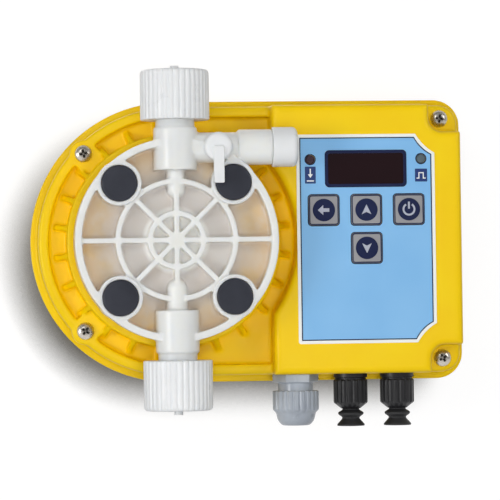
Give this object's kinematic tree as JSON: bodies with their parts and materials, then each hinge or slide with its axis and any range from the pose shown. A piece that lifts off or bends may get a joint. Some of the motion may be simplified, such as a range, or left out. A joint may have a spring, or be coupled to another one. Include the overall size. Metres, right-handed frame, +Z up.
{
  "type": "diaphragm metering pump",
  "caption": "Wall-mounted solenoid diaphragm metering pump with ribbed head, ball valves, bleed lever, keypad, cable gland and signal plugs.",
  "frame": {"origin": "where the pump head's axis meets the wall face of the casing", "axes": "+X to the right along the casing's length, +Z up, +Y into the wall, so the front faces -Y"},
  "size_m": [0.21, 0.1013, 0.172],
  "materials": {
    "yellow_casing": "moulded, satin",
    "white_head": "moulded, slightly translucent",
    "white_fitting": "moulded, satin",
    "dark_cap": "moulded, matt",
    "zinc_screw": "bright zinc",
    "stainless": "machined",
    "brass_insert": "turned",
    "grey_gland": "moulded",
    "black_plug": "moulded",
    "black_rubber": "matt",
    "keypad_film": "printed film",
    "key_plastic": "printed",
    "window_red": "tinted, clear",
    "lamp": "tinted",
    "display_black": "moulded",
    "circuit_board": "solder mask",
    "switch_plastic": "moulded",
    "magnet_steel": "machined",
    "bobbin_nylon": "moulded",
    "copper_wire": "enamelled copper",
    "bush_bronze": "sintered",
    "spring_steel": "drawn wire",
    "disc_aluminium": "turned",
    "diaphragm_rubber": "faced rubber",
    "valve_ball": "ground",
    "seal_rubber": "matt"
  },
  "bodies": {
    "casing": {"rear_shell": "yellow_casing", "front_shell": "yellow_casing", "housing_gasket": "black_rubber", "housing_screws": "zinc_screw", "wall_inserts": "brass_insert", "stop_pad": "black_rubber", "solenoid_yoke": "magnet_steel", "yoke_end_plate": "magnet_steel", "solenoid_screws": "zinc_screw", "coil_bobbin": "bobbin_nylon", "coil_winding": "copper_wire", "pole_piece": "magnet_steel", "guide_bush": "bush_bronze", "return_spring": "spring_steel", "diaphragm": "diaphragm_rubber", "pump_head": "white_head", "head_inserts": "brass_insert", "head_bolts": "stainless", "head_washers": "stainless", "bolt_caps": "dark_cap", "bleed_nipple": "white_fitting", "bleed_nut": "white_fitting", "keypad_overlay": "keypad_film", "display_window": "window_red", "display_module": "display_black", "status_leds": "lamp", "control_board": "circuit_board", "board_screws": "zinc_screw", "key_switches": "switch_plastic", "gland_body": "grey_gland", "gland_seal": "seal_rubber", "gland_dome_nut": "grey_gland", "socket_nuts": "black_plug", "discharge_seat": "white_fitting", "discharge_cage": "white_fitting", "discharge_o_ring": "seal_rubber", "discharge_nipple": "white_fitting", "discharge_nut": "white_fitting", "suction_seat": "white_fitting", "suction_cage": "white_fitting", "suction_o_ring": "seal_rubber", "suction_nipple": "white_fitting", "suction_nut": "white_fitting", "level_socket": "black_plug", "level_plug": "black_plug", "level_boot": "black_rubber", "pulse_socket": "black_plug", "pulse_plug": "black_plug", "pulse_boot": "black_rubber"},
    "plunger": {"plunger": "stainless", "backing_disc": "disc_aluminium"},
    "discharge_ball": {"discharge_ball": "valve_ball"},
    "suction_ball": {"suction_ball": "valve_ball"},
    "bleed_lever": {"bleed_lever": "white_fitting"},
    "key_back": {"key_back": "key_plastic"},
    "key_up": {"key_up": "key_plastic"},
    "key_power": {"key_power": "key_plastic"},
    "key_down": {"key_down": "key_plastic"}
  },
  "joints": [
    {"name": "plunger_stroke", "type": "slide", "parent": "casing", "child": "plunger", "axis": [0, -1, 0], "range_m": [0, 0.00125], "stiffness_N_per_m": 6000, "springref_m": -0.0015, "deforming": ["return_spring", "diaphragm"]},
    {"name": "discharge_ball_lift", "type": "slide", "parent": "casing", "child": "discharge_ball", "axis": [0, 0, 1], "range_m": [0, 0.0015]},
    {"name": "suction_ball_lift", "type": "slide", "parent": "casing", "child": "suction_ball", "axis": [0, 0, 1], "range_m": [0, 0.0015]},
    {"name": "bleed_lever_turn", "type": "hinge", "parent": "casing", "child": "bleed_lever", "pos_m": [0.0196, -0.085, 0.0435], "axis": [0, -1, 0], "range_deg": [0, 90]},
    {"name": "key_back_press", "type": "slide", "parent": "casing", "child": "key_back", "axis": [0, 1, 0], "range_m": [0, 0.0005], "stiffness_N_per_m": 2000, "springref_m": -0.0002},
    {"name": "key_up_press", "type": "slide", "parent": "casing", "child": "key_up", "axis": [0, 1, 0], "range_m": [0, 0.0005], "stiffness_N_per_m": 2000, "springref_m": -0.0002},
    {"name": "key_power_press", "type": "slide", "parent": "casing", "child": "key_power", "axis": [0, 1, 0], "range_m": [0, 0.0005], "stiffness_N_per_m": 2000, "springref_m": -0.0002},
    {"name": "key_down_press", "type": "slide", "parent": "casing", "child": "key_down", "axis": [0, 1, 0], "range_m": [0, 0.0005], "stiffness_N_per_m": 2000, "springref_m": -0.0002}
  ]
}
